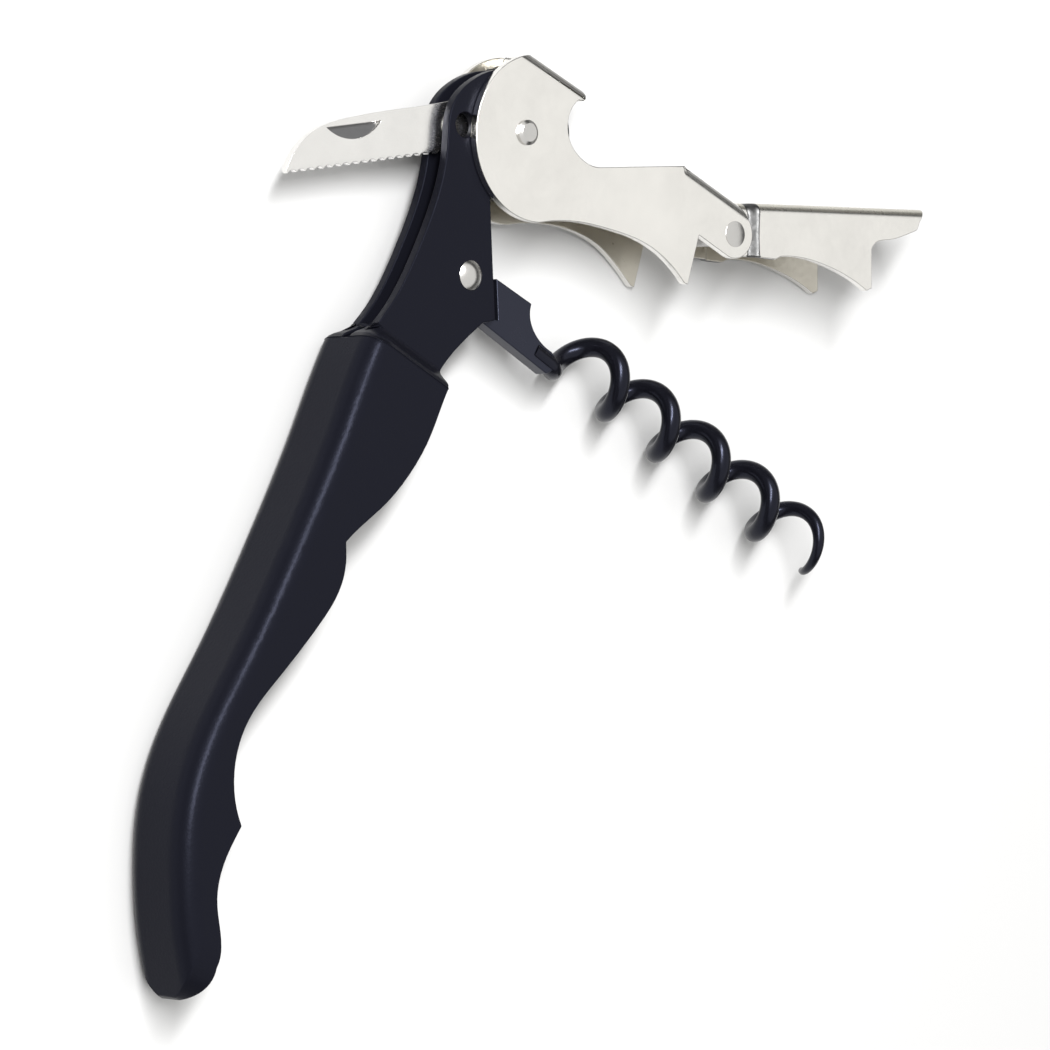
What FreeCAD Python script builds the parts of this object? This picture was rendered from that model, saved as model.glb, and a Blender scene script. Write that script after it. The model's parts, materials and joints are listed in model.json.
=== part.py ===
import FreeCAD, Part
import math
import os

from FreeCAD import Base

# Double-lever waiter's corkscrew, half open: the handle, a foil knife, a two-step lever and a worm.
#
# Frame: X runs along the handle from the butt to the head, Y towards the handle's back, Z up through
# the rivets. The tool lies on its side on z = 0. Everything is modelled about the lever's rivet and
# the tool's middle plane, then moved so that ORIGIN is at zero. Sizes are in millimetres and degrees.

V = Base.Vector
Z_AXIS = V(0, 0, 1)

# handle: one sheet folded into a grip, with two flat plates above it
HANDLE_SHEET = 1.1          # grip wall
GRIP_HALF = 5.5             # half the width over the grip's flat sides
BACK_RADIUS = 2.8           # outer rounding between the back and the sides
BUTT_END = -112.2           # the back sheet's rounded end
BUTT_LENGTH = 7.0           # and how long its rounding is
SLOT_HALF = 1.05            # half the gap between the two upper plates
PLATE_HALF = 2.35           # half the width over the two upper plates
SHOULDER_TOP = -30.9        # the side sheets start to splay out here
SHOULDER_LOW = -33.7        # and reach the grip's full width here
SHOULDER_STEPS = 7
SHOULDER_BACK = 8.5         # height of the back where the splay starts
SHOULDER_RADIUS = 1.2       # and the rounding of its corners there
RIM_SLOT_HALF = 0.65        # a slot for the knife's tip in the grip's back
RIM_SLOT_END = -33.75
SEAM = 0.03                 # how far shapes overlap where they are joined
HEAD_RADIUS = 7.9           # round head about the lever rivet
DETENT_RADIUS = 1.5         # hole in each plate that the lever's head snaps over
DETENT_AT = (-3.7, 7.9)

# pivots, seen along Z, in the handle's frame
LEVER_PIVOT = V(0, 0, 0)
WORM_PIVOT = V(-18.85, -1.2, 0)
STEP_FROM_LEVER = V(32.7, -10.85, 0)   # in the first stage's own frame

# angles at which the parts are modelled
LEVER_ANGLE = -61.5         # first stage's arm, from +X
KNIFE_ANGLE = 127.1         # knife's cutting edge, from +X
WORM_ANGLE = -91.3          # worm's axis, from +X

# lever
LEVER_SHEET = 1.05
HEAD_HALF = 3.45            # half the width over the lever's cheeks at its head
ARM_HALF = 5.3              # and at the teeth and the step hinge
FLARE_START = 10.2          # the cheeks spread between these two stations along the arm
FLARE_END = 23.5
EAR_RADIUS = 3.0
HEAD_BEND = 1.6             # outer bends between the cheeks and the sheet that joins them
ARM_BEND = 1.6
STEP_BEND = 1.35
INNER_EAR_HALF = 4.2        # half the width over the second stage's ears
INNER_EAR_RADIUS = 2.45
JOGGLE = (3.05, 4.4)        # the second stage widens between these distances from the step pivot

# knife
KNIFE_THICKNESS = 1.0
TANG_RADIUS = 4.85
WASHER_RADIUS = 3.2
WASHER_GAP = 0.02

# worm and its bracket
WIRE_RADIUS = 1.2
COIL_RADIUS = 3.0           # of the wire's centre line
COIL_PITCH = 9.8
COIL_LENGTH = 49.8
COIL_START = V(18.9, 1.44, 0)   # point on the worm's axis where the coil starts, from the pivot
BEND_LENGTH = 1.2           # the wire bends into the coil over this distance on each side of its start
TAPER_LENGTH = 9.0
TIP_RADIUS = 0.45
SHANK_LENGTH = 4.5
BRACKET_HALF = 1.0
EYE_RADIUS = 2.6

# rivets: radii of the shank, the head and the flat on its top, and the head's height at its rim
# ("foot") and at its middle ("rise")
HEAD_RIVET = {"shank": 1.35, "head": 1.5, "flat": 1.1, "foot": 0.3, "rise": 0.55}
WORM_RIVET = {"shank": 1.3, "head": 1.75, "flat": 0, "foot": 0.08, "rise": 0.7}
STEP_RIVET = {"shank": 1.35, "head": 1.6, "flat": 0, "foot": 0.06, "rise": 0.2}
RUNNING = 0.05              # radial clearance of a shaft in a moving part
SNUG = 0.02                 # radial clearance of a shaft in a part that it doesn't turn in

ORIGIN = V(-45, 4, -GRIP_HALF)  # point on the grip's lower side that becomes the frame's origin
FAR = 40.0                  # larger than the tool's width, for cutting tools


def flat(x, y):
    return V(x, y, 0)


def spline(points):
    curve = Part.BSplineCurve()
    curve.interpolate([flat(*p) for p in points])
    return curve.toShape()


def line(a, b):
    return Part.LineSegment(flat(*a), flat(*b)).toShape()


def arc(a, through, b):
    return Part.Arc(flat(*a), flat(*through), flat(*b)).toShape()


def on_circle(radius, degrees, centre=(0, 0)):
    turn = math.radians(degrees)
    return (centre[0] + radius * math.cos(turn), centre[1] + radius * math.sin(turn))


def slab(edges, low, high):
    """The closed outline made of these edges, as a solid from z = low to z = high."""
    face = Part.Face(Part.Wire(Part.__sortEdges__(edges)))
    face.translate(V(0, 0, low))
    return face.extrude(V(0, 0, high - low))


def polygon(points):
    return [line(a, b) for a, b in zip(points, points[1:] + points[:1])]


def cylinder(radius, low, high, centre=V(0, 0, 0)):
    return Part.makeCylinder(radius, high - low, V(centre.x, centre.y, low), Z_AXIS)


def plan_strip(stations, low, high):
    """A solid whose half width in Z changes smoothly along X between these stations, tall in Y."""
    def side(sign):
        edges = []
        for (x, half), (next_x, next_half) in zip(stations, stations[1:]):
            start, end = V(x, low, sign * half), V(next_x, low, sign * next_half)
            if half == next_half:
                edges.append(Part.LineSegment(start, end).toShape())
                continue
            third = V((next_x - x) / 3, 0, 0)
            curve = Part.BezierCurve()
            curve.setPoles([start, start + third, end - third, end])
            edges.append(curve.toShape())
        return edges
    ends = [
        Part.LineSegment(V(x, low, half), V(x, low, -half)).toShape()
        for x, half in (stations[0], stations[-1])
    ]
    wire = Part.Wire(Part.__sortEdges__(side(1) + side(-1) + ends))
    return Part.Face(wire).extrude(V(0, high - low, 0))


def turned(shape, degrees, pivot=V(0, 0, 0), origin=V(0, 0, 0)):
    """A copy modelled about origin, turned about Z and put at pivot."""
    copy = shape.copy()
    copy.translate(-origin)
    copy.rotate(V(0, 0, 0), Z_AXIS, degrees)
    copy.translate(pivot)
    return copy


def placed(shape):
    copy = shape.copy()
    copy.translate(-ORIGIN)
    return copy


def edges_where(shape, test):
    return [e for e in shape.Edges if test(e)]


# ---- handle ----

NECK_BACK = [(1.6, 9.4), (-2.5, 10.7), (-7.8, 8.9), (-13.0, 7.6), (-20.0, 7.2), (-26.5, 7.5),
             (SHOULDER_TOP - SEAM, SHOULDER_BACK)]
GRIP_BACK = [(SHOULDER_LOW, 10.35), (-38.0, 10.25), (-45.0, 9.8), (-60.0, 9.5), (-74.0, 9.9),
             (-85.0, 10.5), (-93.0, 9.3), (-100.0, 6.3), (-106.5, 2.2), (-111.2, -1.7)]
BUTT = [(-111.9, -3.1), (-110.2, -3.9), (-107.5, -3.5)]
HEEL = [(-104.0, -2.0), (-101.0, 0.2), (-97.0, 1.35), (-94.0, 1.3), (-92.0, 1.1)]
FINGER_REST = [(-89.2, 3.8), (-86.0, 5.35), (-81.5, 5.9), (-75.0, 4.3), (-67.0, 1.9), (-62.0, 1.1),
               (-56.8, 2.9)]
TOOTH_REST = [(-54.0, 1.7), (-50.0, -0.3), (-45.8, -1.7), (-40.0, -2.5), (-35.0, -2.3),
              (-31.0, -2.5)]
NECK_BELLY = [(-28.0, -3.3), (-25.1, -4.5), (-22.8, -5.6)]
STOP_CORNER = (-21.6, -7.1)
NECK_JOIN = (-7.79, 1.36)


def handle_edges():
    """The handle's outline seen along Z, left high over the grip's back, which is shaped apart."""
    head_end = on_circle(HEAD_RADIUS, 47)
    butt = BUTT[0]
    return [
        arc(NECK_JOIN, on_circle(HEAD_RADIUS, -90), head_end),
        spline([head_end] + NECK_BACK),
        line(NECK_BACK[-1], (NECK_BACK[-1][0], 20)),
        line((NECK_BACK[-1][0], 20), (butt[0], 20)),
        line((butt[0], 20), butt),
        spline(BUTT),
        spline([BUTT[-1]] + HEEL),
        spline([HEEL[-1]] + FINGER_REST),
        spline([FINGER_REST[-1]] + TOOTH_REST),
        spline([TOOTH_REST[-1]] + NECK_BELLY),
        line(NECK_BELLY[-1], STOP_CORNER),
        line(STOP_CORNER, NECK_JOIN),
    ]


def offset_points(points, distance):
    """These outline points moved towards the belly, square to the outline."""
    moved = []
    for i, (x, y) in enumerate(points):
        before = points[max(i - 1, 0)]
        after = points[min(i + 1, len(points) - 1)]
        along = V(after[0] - before[0], after[1] - before[1], 0).normalize()
        moved.append((x - along.y * distance, y + along.x * distance))
    return moved


def grip_block(inset):
    """Everything on the belly side of the grip's rounded back, this far inside its outer faces."""
    back = offset_points(GRIP_BACK + [(-118.0, -6.3)], inset)
    back[0] = (SHOULDER_LOW, back[0][1])
    edges = [
        spline(back),
        line(back[-1], (back[-1][0], -20)),
        line((back[-1][0], -20), (SHOULDER_LOW, -20)),
        line((SHOULDER_LOW, -20), back[0]),
    ]
    block = slab(edges, inset - GRIP_HALF, GRIP_HALF - inset)

    def on_spline(edge):
        box = edge.BoundBox
        return box.ZLength < 0.01 and box.XLength > 70 and box.Center.y > -5
    return block.makeFillet(BACK_RADIUS - inset, edges_where(block, on_spline))


def cross_section(x, half, top, radius):
    """A tall arch across the handle at this x, with this corner radius at its top."""
    ease = radius * (1 - math.sqrt(0.5))
    low = -20

    def seg(a, b):
        return Part.LineSegment(V(x, *a), V(x, *b)).toShape()

    def corner(a, through, b):
        return Part.Arc(V(x, *a), V(x, *through), V(x, *b)).toShape()
    return Part.Wire([
        seg((low, -half), (top - radius, -half)),
        corner((top - radius, -half), (top - ease, ease - half), (top, radius - half)),
        seg((top, radius - half), (top, half - radius)),
        corner((top, half - radius), (top - ease, half - ease), (top - radius, half)),
        seg((top - radius, half), (low, half)),
        seg((low, half), (low, -half)),
    ])


def shoulder(inset, half):
    """Where the grip's arch narrows to the plates; half is the half width at its narrow end."""
    shift = 0.35 * inset / HANDLE_SHEET
    inside = inset + SEAM
    wide = (GRIP_HALF - inside, GRIP_BACK[0][1] - inside, BACK_RADIUS - inset)
    narrow = (half, SHOULDER_BACK - inset, SHOULDER_RADIUS - inset / 2)
    sections = [cross_section(SHOULDER_LOW - SEAM, *wide)]
    for i in range(SHOULDER_STEPS + 1):
        t = i / SHOULDER_STEPS
        ease = t * t * (3 - 2 * t)
        x = SHOULDER_LOW + shift + SEAM + t * (SHOULDER_TOP - SHOULDER_LOW - SEAM)
        sections.append(cross_section(x, *[a + (b - a) * ease for a, b in zip(wide, narrow)]))
    return Part.makeLoft(sections, True, True)


def rounded_butt(inset):
    """The grip's plan, this far inside its outline, with its end rounded to half an ellipse."""
    start, half, side = BUTT_END + BUTT_LENGTH, GRIP_HALF - inset, GRIP_HALF + 1

    def at(x, z):
        return V(x, -30, z)
    ellipse = Part.Ellipse(at(BUTT_END + inset, 0), at(start, half), at(start, 0))
    end = Part.ArcOfEllipse(ellipse, -math.pi / 2, math.pi / 2).toShape()
    rest = Part.makePolygon([
        at(start, -half), at(start, -side), at(30, -side),
        at(30, side), at(start, side), at(start, half),
    ])
    wire = Part.Wire(Part.__sortEdges__([end] + rest.Edges))
    return Part.Face(wire).extrude(V(0, 60, 0))


def handle_body():
    plates = Part.makeBox(60, 60, 2 * PLATE_HALF, V(SHOULDER_TOP, -30, -PLATE_HALF))
    outside = grip_block(0).fuse(shoulder(0, PLATE_HALF)).fuse(plates)
    body = slab(handle_edges(), -GRIP_HALF, GRIP_HALF).common(outside).common(rounded_butt(0))
    channel = grip_block(HANDLE_SHEET).common(rounded_butt(HANDLE_SHEET))
    inside = channel.fuse(shoulder(HANDLE_SHEET, SLOT_HALF))
    slot = Part.makeBox(60, 60, 2 * SLOT_HALF, V(SHOULDER_TOP - 0.4, -30, -SLOT_HALF))
    rim_slot = Part.makeBox(60, 30, 2 * RIM_SLOT_HALF, V(RIM_SLOT_END, 3, -RIM_SLOT_HALF))
    body = body.cut(inside).cut(slot).cut(rim_slot)
    for centre, radius in ((LEVER_PIVOT, HEAD_RIVET["shank"]), (WORM_PIVOT, WORM_RIVET["shank"])):
        body = body.cut(cylinder(radius + SNUG, -FAR, FAR, centre))
    return body.cut(cylinder(DETENT_RADIUS, -FAR, FAR, flat(*DETENT_AT)))


# ---- lever ----

BEAK = (9.6, 5.75)
THROAT = [(8.5, 4.35), (7.05, 2.8), (6.65, 0.7), (7.15, -0.9), (8.5, -2.4), (10.2, -3.3), (12.0, -3.55)]
BRIDGE_START = (25.1, -2.85)
BRIDGE_END = (34.6, -7.4)
NOTCH_TOP = (26.6, -11.2)
TOOTH_TIP = (24.7, -17.3)
ARM_UNDERSIDE = [(24.1, -17.1), (21.6, -14.7), (18.4, -12.6), (13.9, -11.1), (8.0, -10.25), (2.0, -10.6)]
HEAD_CENTRE = (2.0, -0.6)
HEAD_ARC = 10.0
HEAD_TOP = on_circle(HEAD_ARC, 92.3, HEAD_CENTRE)


def first_stage_edges():
    step = (STEP_FROM_LEVER.x, STEP_FROM_LEVER.y)
    ear_top = on_circle(EAR_RADIUS, 40, step)
    ear_low = on_circle(EAR_RADIUS, -120, step)
    return [
        line(HEAD_TOP, BEAK),
        arc(BEAK, (9.75, 4.75), THROAT[0]),
        spline(THROAT),
        line(THROAT[-1], BRIDGE_START),
        line(BRIDGE_START, BRIDGE_END),
        line(BRIDGE_END, ear_top),
        arc(ear_top, on_circle(EAR_RADIUS, -40, step), ear_low),
        line(ear_low, NOTCH_TOP),
        line(NOTCH_TOP, TOOTH_TIP),
        line(TOOTH_TIP, ARM_UNDERSIDE[0]),
        spline(ARM_UNDERSIDE),
        arc(ARM_UNDERSIDE[-1], on_circle(HEAD_ARC, 180, HEAD_CENTRE), HEAD_TOP),
    ]


def bridge(start, end):
    """The sheet that joins two cheeks, its outer face on this line, and the line of its inner face."""
    along = V(end[0] - start[0], end[1] - start[1], 0).normalize()
    inward = V(along.y, -along.x, 0) * LEVER_SHEET

    def moved(point, steps):
        return (point[0] + steps * inward.x, point[1] + steps * inward.y)
    inside = (moved(start, 1), moved(end, 1))
    corners = [start, inside[0], inside[1], end, moved(end, -1), moved(start, -1)]
    return slab(polygon(corners), -FAR, FAR), inside


def on_bend(start, end):
    """A test for the long edges between a bridge's flat face and the cheeks' faces."""
    a, b = flat(*start), flat(*end)
    along = (b - a).normalize()

    def test(edge):
        if len(edge.Vertexes) != 2 or edge.Length < 5 or abs(edge.BoundBox.Center.z) < 0.1:
            return False
        ends = [flat(v.X, v.Y) - a for v in edge.Vertexes]
        near = all(abs(e.x * along.y - e.y * along.x) < 0.02 for e in ends)
        return near and all(-3 < e.dot(along) < (b - a).Length + 3 for e in ends)
    return test


def folded(outline, plan, bridges):
    """A sheet folded to a channel: bridges are (start, end, outer bend radius) on the outline."""
    outer = outline.common(plan_strip(plan, -30, 30))
    inner = outline.common(plan_strip([(x, half - LEVER_SHEET) for x, half in plan], -30, 30))
    for start, end, radius in bridges:
        outer = outer.makeFillet(radius, edges_where(outer, on_bend(start, end)))
    for start, end, radius in bridges:
        strip, inside = bridge(start, end)
        inner = inner.cut(strip)
        inner = inner.makeFillet(radius - LEVER_SHEET, edges_where(inner, on_bend(*inside)))
    return max(outer.cut(inner).Solids, key=lambda solid: solid.Volume)


def first_stage():
    plan = [(-20, HEAD_HALF), (FLARE_START, HEAD_HALF), (FLARE_END, ARM_HALF), (60, ARM_HALF)]
    bridges = ((HEAD_TOP, BEAK, HEAD_BEND), (BRIDGE_START, BRIDGE_END, ARM_BEND))
    stage = folded(slab(first_stage_edges(), -FAR, FAR), plan, bridges)
    stage = stage.cut(cylinder(HEAD_RIVET["shank"] + RUNNING, -FAR, FAR))
    return stage.cut(cylinder(STEP_RIVET["shank"] + SNUG, -FAR, FAR, STEP_FROM_LEVER))


STEP_WEB = ((2.1, 3.98), (34.1, 4.45))
STEP_END = [(32.9, 2.8), (32.4, 1.75)]
STEP_NOTCH = [(29.9, 0.9), (27.2, 0.3), (25.2, 0.0), (24.1, -0.95)]
STEP_TIP = (24.1, -5.9)
STEP_UNDERSIDE = [(23.2, -6.25), (20.0, -4.65), (16.4, -3.45), (11.5, -2.5), (7.9, -2.5)]


def second_stage_edges():
    ear_low = on_circle(INNER_EAR_RADIUS, -90)
    ear_top = on_circle(INNER_EAR_RADIUS, 50)
    return [
        line(STEP_WEB[0], STEP_WEB[1]),
        line(STEP_WEB[1], STEP_END[0]),
        line(STEP_END[0], STEP_END[1]),
        spline([STEP_END[1]] + STEP_NOTCH),
        line(STEP_NOTCH[-1], STEP_TIP),
        line(STEP_TIP, STEP_UNDERSIDE[0]),
        spline(STEP_UNDERSIDE),
        line(STEP_UNDERSIDE[-1], (7.1, -2.85)),
        line((7.1, -2.85), ear_low),
        arc(ear_low, on_circle(INNER_EAR_RADIUS, 180), ear_top),
        line(ear_top, (2.1, 3.0)),
        line((2.1, 3.0), STEP_WEB[0]),
    ]


def second_stage():
    plan = [(-10, INNER_EAR_HALF), (JOGGLE[0], INNER_EAR_HALF), (JOGGLE[1], ARM_HALF), (60, ARM_HALF)]
    outline = slab(second_stage_edges(), -FAR, FAR)
    stage = folded(outline, plan, ((STEP_WEB[0], STEP_WEB[1], STEP_BEND),))
    return stage.cut(cylinder(STEP_RIVET["shank"] + RUNNING, -FAR, FAR))


# ---- knife ----

SPINE = [(8.0, 4.85), (18.0, 4.6), (24.0, 4.4), (27.4, 4.05), (30.0, 3.4), (32.1, 2.3), (33.8, 0.8),
         (34.8, -0.6)]
KNIFE_TIP = (34.6, -1.1)
EDGE_START = (10.4, -1.1)
CHOIL = (9.6, -0.75)
TEETH = 18                  # scallops along the cutting edge
TOOTH_DEPTH = 0.34
EDGE_BEVEL = (0.9, 0.14)    # the flat ground beside the teeth: its width and its depth
NICK = ((19.8, 3.55), (24.6, 1.85), (28.2, 3.55))   # nail nick's ends and its lowest point
NICK_DEPTH = 0.6


def serrations():
    pitch = (KNIFE_TIP[0] - EDGE_START[0]) / TEETH
    y = KNIFE_TIP[1]
    scallops = []
    for i in range(TEETH):
        x = EDGE_START[0] + i * pitch
        scallops.append(arc((x, y), (x + pitch / 2, y + TOOTH_DEPTH), (x + pitch, y)))
    return scallops


def edge_grind():
    """The wedge taken off the blade's upper face beside the cutting edge."""
    width, depth = EDGE_BEVEL
    top = KNIFE_THICKNESS / 2
    x, y = EDGE_START[0] + 0.4, KNIFE_TIP[1]
    wedge = [V(x, y + width, top), V(x, y - 1, top), V(x, y - 1, top - depth * (width + 1) / width)]
    return Part.Face(Part.makePolygon(wedge + wedge[:1])).extrude(V(30, 0, 0))


def nail_nick():
    start, low, end = NICK
    edges = [line(start, end), arc(start, low, end)]
    cut = slab(edges, KNIFE_THICKNESS / 2 - NICK_DEPTH, KNIFE_THICKNESS)
    foot = low[1] - 0.05
    slope = [
        V(0, start[1], KNIFE_THICKNESS / 2 - NICK_DEPTH),
        V(0, foot, KNIFE_THICKNESS / 2),
        V(0, foot, KNIFE_THICKNESS),
        V(0, start[1], KNIFE_THICKNESS),
    ]
    return cut.common(Part.Face(Part.makePolygon(slope + slope[:1])).extrude(V(60, 0, 0)))


def knife():
    """Modelled with the cutting edge along +X on the -Y side."""
    tang_low = on_circle(TANG_RADIUS, -45)
    edges = [
        arc((0, TANG_RADIUS), (-TANG_RADIUS, 0), tang_low),
        line(tang_low, CHOIL),
        line(CHOIL, EDGE_START),
        line(KNIFE_TIP, SPINE[-1]),
        spline(SPINE),
        line(SPINE[0], (0, TANG_RADIUS)),
    ]
    blade = slab(edges + serrations(), -KNIFE_THICKNESS / 2, KNIFE_THICKNESS / 2)
    blade = blade.cut(edge_grind()).cut(nail_nick())
    return blade.cut(cylinder(HEAD_RIVET["shank"] + RUNNING, -FAR, FAR))


def washer(low, high):
    ring = cylinder(WASHER_RADIUS, low, high)
    return ring.cut(cylinder(HEAD_RIVET["shank"] + RUNNING, -FAR, FAR))


# ---- worm ----

LOBE = [(4.7, 2.5), (11.0, 2.85)]
LOBE_CURVE = [(11.0, 2.85), (11.9, 1.0), (13.8, -0.15), (16.6, -0.45)]
BRACKET_END = [(18.2, -0.95), (18.4, -1.7), (17.2, -3.1)]
SLIT_FOOT = (7.4, -1.7)


def worm_bracket():
    """Modelled with the worm's axis along +X. The wire's shank is let into its lower edge."""
    edges = [
        arc((0, EYE_RADIUS), (-EYE_RADIUS, 0), (0, -EYE_RADIUS)),
        line((0, -EYE_RADIUS), (4.5, -3.2)),
        line((4.5, -3.2), (17.2, -3.2)),
        line((17.2, -3.2), BRACKET_END[1]),
        line(BRACKET_END[1], BRACKET_END[0]),
        line(BRACKET_END[0], LOBE_CURVE[-1]),
        spline(LOBE_CURVE),
        line(LOBE[1], LOBE[0]),
        line(LOBE[0], SLIT_FOOT),
        line(SLIT_FOOT, (6.0, -2.1)),
        arc((6.0, -2.1), (3.0, 1.2), (0, EYE_RADIUS)),
    ]
    plate = slab(edges, -BRACKET_HALF, BRACKET_HALF)
    plate = plate.cut(cylinder(WORM_RIVET["shank"] + RUNNING, -FAR, FAR))
    groove = Part.makeCylinder(WIRE_RADIUS, SHANK_LENGTH, wire_point(-SHANK_LENGTH), V(1, 0, 0))
    return plate.cut(groove)


def wire_point(along):
    """The wire's centre line: straight up to the coil's start, with a smooth bend into the coil."""
    if along < -BEND_LENGTH:
        wound = 0
    elif along < BEND_LENGTH:
        wound = (along + BEND_LENGTH) ** 2 / (4 * BEND_LENGTH)
    else:
        wound = along
    turn = 2 * math.pi * wound / COIL_PITCH - math.pi
    out, over = COIL_RADIUS * math.cos(turn), COIL_RADIUS * math.sin(turn)
    return V(COIL_START.x + along, COIL_START.y + out, over)


def swept(curve, first, last, radius_first, radius_last):
    """The wire along the part of its centre line between these two parameters."""
    pipe = Part.BRepOffsetAPI.MakePipeShell(Part.Wire(curve.toShape(first, last)))
    for at, radius in ((first, radius_first), (last, radius_last)):
        pipe.add(Part.Wire(Part.makeCircle(radius, curve.value(at), curve.tangent(at)[0])), False, False)
    pipe.build()
    pipe.makeSolid()
    return Part.Solid(pipe.shape())


def worm():
    length = COIL_LENGTH + SHANK_LENGTH
    count = int(length / COIL_PITCH * 16)
    points = [wire_point(length * i / count - SHANK_LENGTH) for i in range(count + 1)]
    curve = Part.BSplineCurve()
    curve.interpolate(points)
    taper = curve.parameter(wire_point(COIL_LENGTH - TAPER_LENGTH))
    full = swept(curve, curve.FirstParameter, taper, WIRE_RADIUS, WIRE_RADIUS)
    point = swept(curve, taper, curve.LastParameter, WIRE_RADIUS, TIP_RADIUS)
    return full.fuse(point).Solids[0]


# ---- rivets ----

def rivet(size, half, centre):
    """A headed pin whose two heads sit on faces at z = +-half."""
    head, shank, top = size["head"], size["shank"], half + size["rise"]
    rim = half + size["foot"]

    def seg(a, b):
        return Part.LineSegment(V(a[0], 0, a[1]), V(b[0], 0, b[1])).toShape()

    def crown(side):
        if size["flat"]:
            corner = (size["flat"], side * top)
            return [seg((0, side * top), corner), seg(corner, (head, side * rim))]
        middle = V(0.6 * head, 0, side * (rim + 0.64 * (top - rim)))
        return [Part.Arc(V(0, 0, side * top), middle, V(head, 0, side * rim)).toShape()]
    edges = crown(1) + crown(-1) + [
        seg((head, rim), (head, half)),
        seg((head, half), (shank, half)),
        seg((shank, half), (shank, -half)),
        seg((shank, -half), (head, -half)),
        seg((head, -half), (head, -rim)),
        seg((0, -top), (0, top)),
    ]
    face = Part.Face(Part.Wire(Part.__sortEdges__(edges)))
    pin = face.revolve(V(0, 0, 0), Z_AXIS, 360)
    pin.translate(centre)
    return pin


def parts():
    step = turned(Part.Vertex(STEP_FROM_LEVER), LEVER_ANGLE).Point
    step_pivot = V(step.x, step.y, 0)
    low = KNIFE_THICKNESS / 2 + WASHER_GAP
    high = SLOT_HALF - WASHER_GAP
    return {
        "handle_body": handle_body(),
        "head_rivet": rivet(HEAD_RIVET, HEAD_HALF, LEVER_PIVOT),
        "worm_rivet": rivet(WORM_RIVET, PLATE_HALF, WORM_PIVOT),
        "upper_knife_washer": washer(low, high),
        "lower_knife_washer": washer(-high, -low),
        "foil_knife": turned(knife().mirror(V(0, 0, 0), V(0, 1, 0)), KNIFE_ANGLE),
        "lever_first_stage": turned(first_stage(), LEVER_ANGLE),
        "lever_second_stage": turned(second_stage(), LEVER_ANGLE, step_pivot),
        "step_rivet": rivet(STEP_RIVET, ARM_HALF, step_pivot),
        "worm_bracket": turned(worm_bracket(), WORM_ANGLE, WORM_PIVOT),
        "worm": turned(worm(), WORM_ANGLE, WORM_PIVOT),
    }


def main():
    os.makedirs("parts", exist_ok=True)
    for name, shape in parts().items():
        solid = placed(shape)
        solid.exportStep(os.path.join("parts", name + ".step"))
        print(name, solid.isValid(), len(solid.Solids), round(solid.Volume, 2))


main()
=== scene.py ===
import json
import math

import bmesh
import bpy
from mathutils import Matrix, Vector
from mathutils.bvhtree import BVHTree


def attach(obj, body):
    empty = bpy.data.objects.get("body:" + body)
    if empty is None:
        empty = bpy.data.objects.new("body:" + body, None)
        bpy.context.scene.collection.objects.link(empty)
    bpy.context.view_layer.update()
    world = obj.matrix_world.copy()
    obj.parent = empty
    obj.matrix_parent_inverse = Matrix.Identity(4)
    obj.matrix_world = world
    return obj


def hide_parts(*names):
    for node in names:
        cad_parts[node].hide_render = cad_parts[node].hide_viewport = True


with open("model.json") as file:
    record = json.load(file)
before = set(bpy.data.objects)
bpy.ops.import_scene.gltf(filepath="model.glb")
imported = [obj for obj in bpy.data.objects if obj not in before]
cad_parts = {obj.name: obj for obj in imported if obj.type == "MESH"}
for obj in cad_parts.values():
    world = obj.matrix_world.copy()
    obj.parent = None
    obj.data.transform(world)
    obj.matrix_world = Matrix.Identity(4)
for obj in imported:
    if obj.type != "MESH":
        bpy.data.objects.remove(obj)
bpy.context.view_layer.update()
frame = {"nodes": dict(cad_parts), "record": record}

MM = 0.001

# how the CAD meshes are softened
MERGE_DISTANCE = 0.002 * MM
FLAT_ANGLE = math.radians(0.4)      # faces that bend less than this are joined into one
SHARP_ANGLE = math.radians(32)      # and edges that bend more than this are rounded
EDGE_SEGMENTS = 3
LARGEST_SHIFT = 0.6                 # of the rounding's width: what is further off the surface goes back

# grain and stains, as noise cells to the metre, and how they change the roughness
COAT_GRAIN, COAT_GRAIN_HEIGHT, COAT_CLOUDS, COAT_CHANGE = 3200, 0.00006, 140, 0.1
METAL_GRAIN, METAL_GRAIN_HEIGHT, METAL_CLOUDS, METAL_CHANGE = 1800, 0.00003, 220, 0.2
BLADE_TURN = math.radians(127.1)    # the knife's edge, from +X, in the pose in which it is modelled
BLADE_STRETCH = (1, 0.08, 1)

# which faces get painted shade or painted reflections (inside the channel also duller plating), by where
# they are and how far their normals lean
LEVER_ALONG = Vector((0.477, -0.879, 0))    # the lever's stages, away from the handle
JOGGLE = (2.9 * MM, 4.6 * MM)       # where the second stage widens, from its hinge along LEVER_ALONG
LEVEL = 0.97                        # a face whose normal has less than this along Z is sloped
NICK_LEAN = 0.9                     # the nail nick's floor is sloped, but has more than this
NICK_FACE = 1.0 * MM * MM           # and is larger than this
INWARD = 0.5                        # a face inside the channel has more than this towards its middle
BEND_SIDE = 0.4                     # a bend has more than this along +X
BEND_SLOPE = 0.1                    # and more than this along Z

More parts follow.
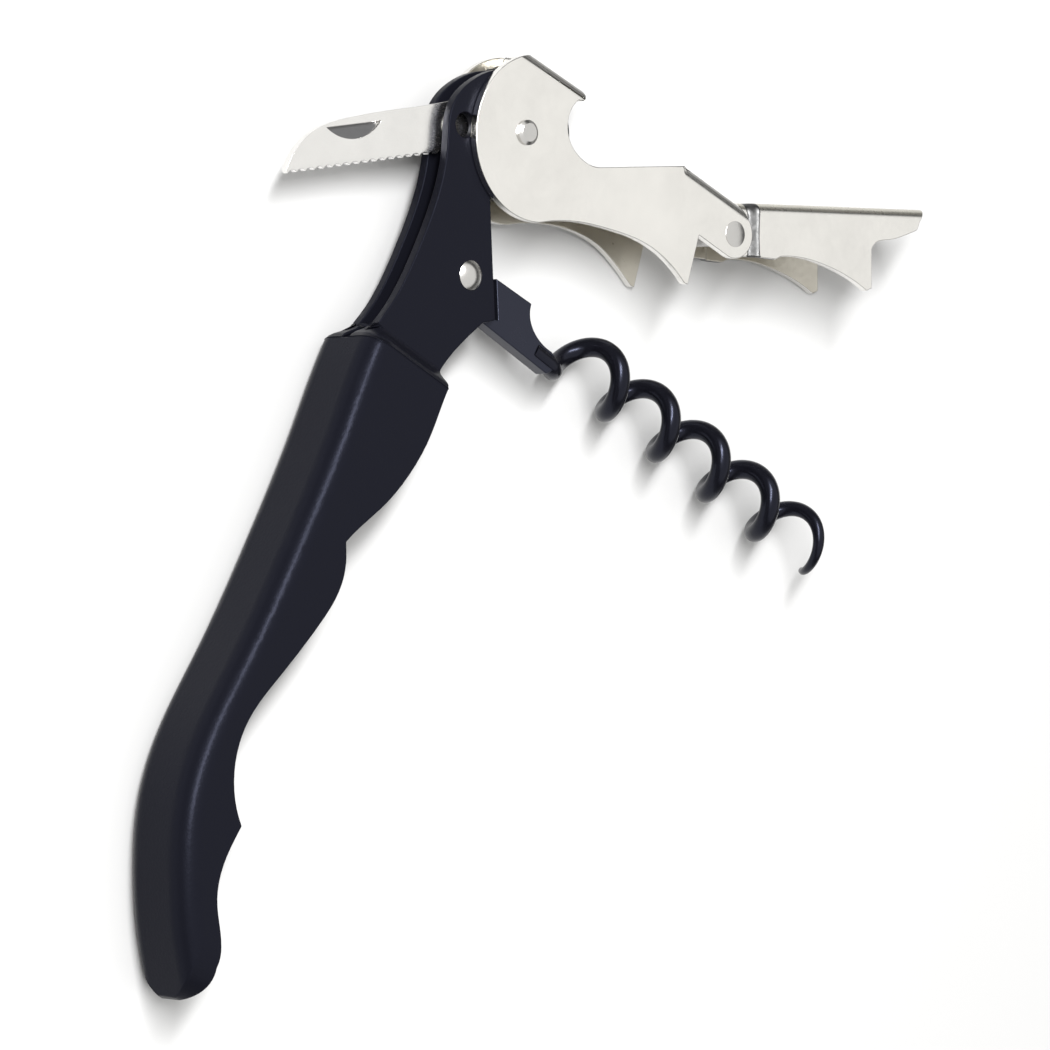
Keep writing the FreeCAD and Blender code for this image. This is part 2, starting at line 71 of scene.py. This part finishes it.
# camera and studio
FIELD_OF_VIEW = math.radians(11.99)
CAMERA_TOWARD = Vector((-0.319, 0.588, 0.743)).normalized()
CAMERA_UP = Vector((0.879, 0.477, 0.0)).normalized()
CAMERA_RIGHT = CAMERA_UP.cross(CAMERA_TOWARD)
CAMERA_MM = (592.3, -0.592, -46.55)     # from the lever's rivet, in mm: toward the viewer, right and up
RIVET_TOP = Vector((0, 0, 4 * MM))
KEY_PLACE = (0.1, 0.5, 0.75)
KEY_SIZE = (0.7, 0.12)
KEY_POWER = 12
FLOOR_SIZE = 6
FLOOR_GREY = 0.62
FLOOR_ROUGHNESS = 0.9
SKY_BANDS = ((0.0, 0.42), (0.26, 0.3), (0.33, 0.08), (0.52, 0.08), (0.61, 1.0))   # (height, brightness)
SKY_TINT = (1, 0.995, 0.98)


# ---- helpers ----


def joint_place(name):
    for joint in frame["record"]["behaviour"]["joints"]:
        if joint["name"] == name:
            return Vector(joint["pos_m"])
    raise ValueError(name)


# ---- materials ----

def new_material(name):
    material = bpy.data.materials.new(name)
    material.use_nodes = True
    return material, material.node_tree.nodes, material.node_tree.links


def add_noise(nodes, links, scale, detail=4.0, rough=0.55, stretch=(1, 1, 1), turn=0.0):
    place = nodes.new("ShaderNodeTexCoord")
    mapping = nodes.new("ShaderNodeMapping")
    mapping.inputs["Rotation"].default_value = (0, 0, turn)
    mapping.inputs["Scale"].default_value = stretch
    mapping.vector_type = "TEXTURE" if turn else "POINT"
    noise = nodes.new("ShaderNodeTexNoise")
    noise.inputs["Scale"].default_value = scale
    noise.inputs["Detail"].default_value = detail
    noise.inputs["Roughness"].default_value = rough
    links.new(place.outputs["Object"], mapping.inputs["Vector"])
    links.new(mapping.outputs["Vector"], noise.inputs["Vector"])
    return noise


def ranged(nodes, links, source, low, high, start=0.3, end=0.7):
    node = nodes.new("ShaderNodeMapRange")
    node.inputs["From Min"].default_value = start
    node.inputs["From Max"].default_value = end
    node.inputs["To Min"].default_value = low
    node.inputs["To Max"].default_value = high
    links.new(source, node.inputs["Value"])
    return node.outputs["Result"]


def tinted(nodes, links, source, dark, light):
    node = nodes.new("ShaderNodeMix")
    node.data_type = "RGBA"
    node.inputs["A"].default_value = (*dark, 1)
    node.inputs["B"].default_value = (*light, 1)
    links.new(source, node.inputs["Factor"])
    return node.outputs["Result"]


def bumped(nodes, links, source, strength, distance):
    node = nodes.new("ShaderNodeBump")
    node.inputs["Strength"].default_value = strength
    node.inputs["Distance"].default_value = distance
    links.new(source, node.inputs["Height"])
    return node.outputs["Normal"]


def coated(name, colour, roughness, grain, specular, tint=(0.66, 0.71, 1.0)):
    """Painted or coated metal: a fine orange-peel grain and slow changes of gloss."""
    material, nodes, links = new_material(name)
    shader = nodes["Principled BSDF"]
    shader.inputs["Base Color"].default_value = (*colour, 1)
    shader.inputs["Specular IOR Level"].default_value = specular
    shader.inputs["Specular Tint"].default_value = (*tint, 1)
    fine = add_noise(nodes, links, COAT_GRAIN, 3.0)
    slow = add_noise(nodes, links, COAT_CLOUDS, 3.0)
    links.new(ranged(nodes, links, slow.outputs["Fac"],
                     roughness * (1 - COAT_CHANGE), roughness * (1 + COAT_CHANGE)),
              shader.inputs["Roughness"])
    links.new(bumped(nodes, links, fine.outputs["Fac"], grain, COAT_GRAIN_HEIGHT),
              shader.inputs["Normal"])
    return material


def metal(name, colour, roughness, stretch=(1, 1, 1), turn=0.0, grain=0.05, stain=0.06):
    """Plated or brushed metal: fine scratches along one direction and faint stains."""
    material, nodes, links = new_material(name)
    shader = nodes["Principled BSDF"]
    shader.inputs["Metallic"].default_value = 1.0
    fine = add_noise(nodes, links, METAL_GRAIN, 5.0, 0.6, stretch, turn)
    slow = add_noise(nodes, links, METAL_CLOUDS, 4.0)
    dark = tuple(c * (1 - stain) for c in colour)
    links.new(tinted(nodes, links, ranged(nodes, links, slow.outputs["Fac"], 0, 1), dark, colour),
              shader.inputs["Base Color"])
    links.new(ranged(nodes, links, fine.outputs["Fac"],
                     roughness * (1 - METAL_CHANGE), roughness * (1 + METAL_CHANGE)),
              shader.inputs["Roughness"])
    links.new(bumped(nodes, links, fine.outputs["Fac"], grain, METAL_GRAIN_HEIGHT),
              shader.inputs["Normal"])
    return material


# ---- pieces ----

def applied(piece):
    """The piece's mesh with its modifiers in it, which are then taken off."""
    evaluated = piece.evaluated_get(bpy.context.evaluated_depsgraph_get())
    mesh = bpy.data.meshes.new_from_object(evaluated)
    piece.modifiers.clear()
    return mesh


def merged(source):
    """A copy of a CAD mesh, its split corners and flat stretches joined and its stored normals gone."""
    mesh = source.copy()
    work = bmesh.new()
    work.from_mesh(mesh)
    bmesh.ops.remove_doubles(work, verts=work.verts, dist=MERGE_DISTANCE)
    bmesh.ops.dissolve_limit(work, angle_limit=FLAT_ANGLE, verts=work.verts, edges=work.edges)
    for face in work.faces:
        face.smooth = True
    work.to_mesh(mesh)
    work.free()
    if mesh.has_custom_normals:
        mesh.attributes.remove(mesh.attributes["custom_normal"])
    return mesh


def held_to(rounded, mesh, width):
    """Puts corners of the rounded mesh that stray from the first mesh back on it."""
    surface = BVHTree.FromPolygons([v.co for v in mesh.vertices], [f.vertices for f in mesh.polygons])
    low = [min(v.co[axis] for v in mesh.vertices) for axis in range(3)]
    high = [max(v.co[axis] for v in mesh.vertices) for axis in range(3)]
    for vertex in rounded.vertices:
        nearest, _, _, distance = surface.find_nearest(vertex.co)
        place = nearest if distance > LARGEST_SHIFT * width else vertex.co
        vertex.co = [min(max(place[axis], low[axis]), high[axis]) for axis in range(3)]


def softened(node, width):
    """A copy of a CAD node's mesh with merged corners, whose sharp edges are rounded by this width."""
    mesh = merged(frame["nodes"][node].data)
    piece = bpy.data.objects.new(node + "_shown", mesh)
    bpy.context.collection.objects.link(piece)
    bevel = piece.modifiers.new("round", "BEVEL")
    bevel.width = width
    bevel.segments = EDGE_SEGMENTS
    bevel.limit_method = "ANGLE"
    bevel.angle_limit = SHARP_ANGLE
    bevel.use_clamp_overlap = False
    bevel.miter_outer = "MITER_ARC"
    rounded = applied(piece)
    held_to(rounded, mesh, width)
    piece.data = rounded
    weighted = piece.modifiers.new("normals", "WEIGHTED_NORMAL")
    weighted.weight = 100
    weighted.keep_sharp = True
    piece.data = applied(piece)
    return piece


def body_of(node):
    for body, nodes in frame["record"]["behaviour"]["bodies"].items():
        if node in nodes:
            return body
    raise ValueError(node)


def shade_lever(piece, inside, bend, joggle=None):
    """Colours the lever's faces: within the channel darker, partly duller plating and partly painted shade;
    painted reflections round its bends; painted shade on the joggles beside its hinge.
    """
    for look in (inside, bend, joggle):
        if look:
            piece.data.materials.append(look)
    middle = joint_place("lever_swing").z
    hinge = joint_place("step_swing")
    for face in piece.data.polygons:
        height = face.center.z - middle
        along = (face.center - hinge).dot(LEVER_ALONG)
        if height * face.normal.z < -INWARD * abs(height):
            # within the channel: duller plating, darkened further with painted shade
            face.material_index = 1
        elif joggle and JOGGLE[0] < along < JOGGLE[1] and abs(face.normal.z) < LEVEL:
            # the joggle's sloped faces beside the hinge: painted shade
            face.material_index = 3
        elif face.normal.x > BEND_SIDE and abs(face.normal.z) > BEND_SLOPE:
            # round the bends: painted reflections
            face.material_index = 2


def darken_nick(piece, look):
    """Gives the sloped floor of the nail nick a darker colour, which is painted shade."""
    piece.data.materials.append(look)
    for face in piece.data.polygons:
        if NICK_LEAN < face.normal.z < LEVEL and face.area > NICK_FACE:
            face.material_index = 1


def show(piece, node, look):
    piece.data.materials.clear()
    piece.data.materials.append(look)
    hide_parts(node)
    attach(piece, body_of(node))


def build_pieces():
    nickel = metal("lever_nickel", (0.86, 0.845, 0.81), 0.2)
    rivet = metal("rivet_steel", (0.62, 0.61, 0.595), 0.2)
    washer = metal("washer_steel", (0.5, 0.5, 0.5), 0.35)
    looks = {
        "handle_body": (coated("black_coat", (0.0065, 0.0068, 0.0105), 0.3, 0.3, 0.08), 0.16 * MM),
        "worm_bracket": (coated("bracket_coat", (0.008, 0.0085, 0.013), 0.3, 0.2, 0.4), 0.15 * MM),
        "lever_first_stage": (nickel, 0.13 * MM),
        "lever_second_stage": (nickel, 0.13 * MM),
        "foil_knife": (metal("blade_steel", (0.86, 0.85, 0.83), 0.24, BLADE_STRETCH, BLADE_TURN), 0.04 * MM),
    }
    turned = {
        "head_rivet": rivet,
        "worm_rivet": rivet,
        "step_rivet": rivet,
        "upper_knife_washer": washer,
        "lower_knife_washer": washer,
        "worm": coated("worm_coat", (0.004, 0.004, 0.006), 0.24, 0.08, 0.26),
    }
    # The nail nick's floor: a dark grey that is painted shade in the hollow.
    nick = metal("nick_painted_shade", (0.22, 0.22, 0.225), 0.4)
    # Within the channel: darker, browner nickel, partly duller unpolished plating and partly painted shade.
    inside = metal("nickel_inside_dull_and_painted_shade", (0.6, 0.57, 0.5), 0.34, grain=0.01, stain=0.08)
    # Round the bends: painted reflections, a dark strip on the first stage and an olive-beige strip on the
    # second, for the darker surroundings mirrored there.
    dark_bend_painted_reflection = metal("nickel_bend_painted_reflection_dark", (0.3, 0.295, 0.28), 0.3, stain=0.1)
    olive_bend_painted_reflection = metal("nickel_bend_painted_reflection_olive", (0.62, 0.6, 0.53), 0.3, stain=0.1)
    # Beside the hinge: a near-black painted shade on the joggle's sloped faces.
    joggle = metal("nickel_joggle_painted_shade", (0.1, 0.1, 0.1), 0.35)
    for node, (look, width) in looks.items():
        piece = softened(node, width)
        show(piece, node, look)
        if node == "lever_first_stage":
            shade_lever(piece, inside, dark_bend_painted_reflection)
        if node == "lever_second_stage":
            shade_lever(piece, inside, olive_bend_painted_reflection, joggle)
        if node == "foil_knife":
            darken_nick(piece, nick)
    for node, look in turned.items():
        cad = frame["nodes"][node]
        cad.data.materials.clear()
        cad.data.materials.append(look)


# ---- studio ----

def add_camera():
    """The photograph's view, placed from the lever's rivet."""
    toward, right, up = CAMERA_MM
    data = bpy.data.cameras.new("camera")
    data.angle = FIELD_OF_VIEW
    data.clip_end = 20
    camera = bpy.data.objects.new("camera", data)
    offset = (CAMERA_TOWARD * toward + CAMERA_RIGHT * right + CAMERA_UP * up) * MM
    place = joint_place("lever_swing") + RIVET_TOP + offset
    turn = Matrix((CAMERA_RIGHT, CAMERA_UP, CAMERA_TOWARD)).transposed().to_4x4()
    camera.matrix_world = Matrix.Translation(place) @ turn
    bpy.context.collection.objects.link(camera)
    bpy.context.scene.camera = camera


def add_floor():
    bpy.ops.mesh.primitive_plane_add(size=FLOOR_SIZE, location=(0, 0, 0))
    floor = bpy.context.object
    floor.name = "floor"
    material, nodes, _ = new_material("floor")
    nodes["Principled BSDF"].inputs["Base Color"].default_value = (FLOOR_GREY, FLOOR_GREY, FLOOR_GREY, 1)
    nodes["Principled BSDF"].inputs["Roughness"].default_value = FLOOR_ROUGHNESS
    floor.data.materials.append(material)


def add_light(name, place, size, power):
    """A rectangular softbox aimed at the origin."""
    data = bpy.data.lights.new(name, "AREA")
    data.shape = "RECTANGLE"
    data.size = size[0]
    data.size_y = size[1]
    data.energy = power
    light = bpy.data.objects.new(name, data)
    light.location = place
    light.rotation_euler = (-Vector(place)).to_track_quat("-Z", "Y").to_euler()
    bpy.context.collection.objects.link(light)


def add_world():
    """A pale studio: bright overhead, with a darker band above the horizon for the metal to show."""
    world = bpy.data.worlds.new("studio")
    bpy.context.scene.world = world
    world.use_nodes = True
    nodes, links = world.node_tree.nodes, world.node_tree.links
    place = nodes.new("ShaderNodeTexCoord")
    split = nodes.new("ShaderNodeSeparateXYZ")
    bands = nodes.new("ShaderNodeValToRGB")
    links.new(place.outputs["Generated"], split.inputs["Vector"])
    links.new(split.outputs["Z"], bands.inputs["Fac"])
    links.new(bands.outputs["Color"], nodes["Background"].inputs["Color"])
    nodes["Background"].inputs["Strength"].default_value = 1.0
    ramp = bands.color_ramp.elements
    while len(ramp) < len(SKY_BANDS):
        ramp.new(0.5)
    for element, (height, level) in zip(ramp, SKY_BANDS):
        element.position = height
        element.color = (*(level * part for part in SKY_TINT), 1)


def add_lights():
    add_world()
    add_light("key", KEY_PLACE, KEY_SIZE, KEY_POWER)
    bpy.context.scene.view_settings.view_transform = "Standard"


build_pieces()
add_camera()
add_floor()
add_lights()
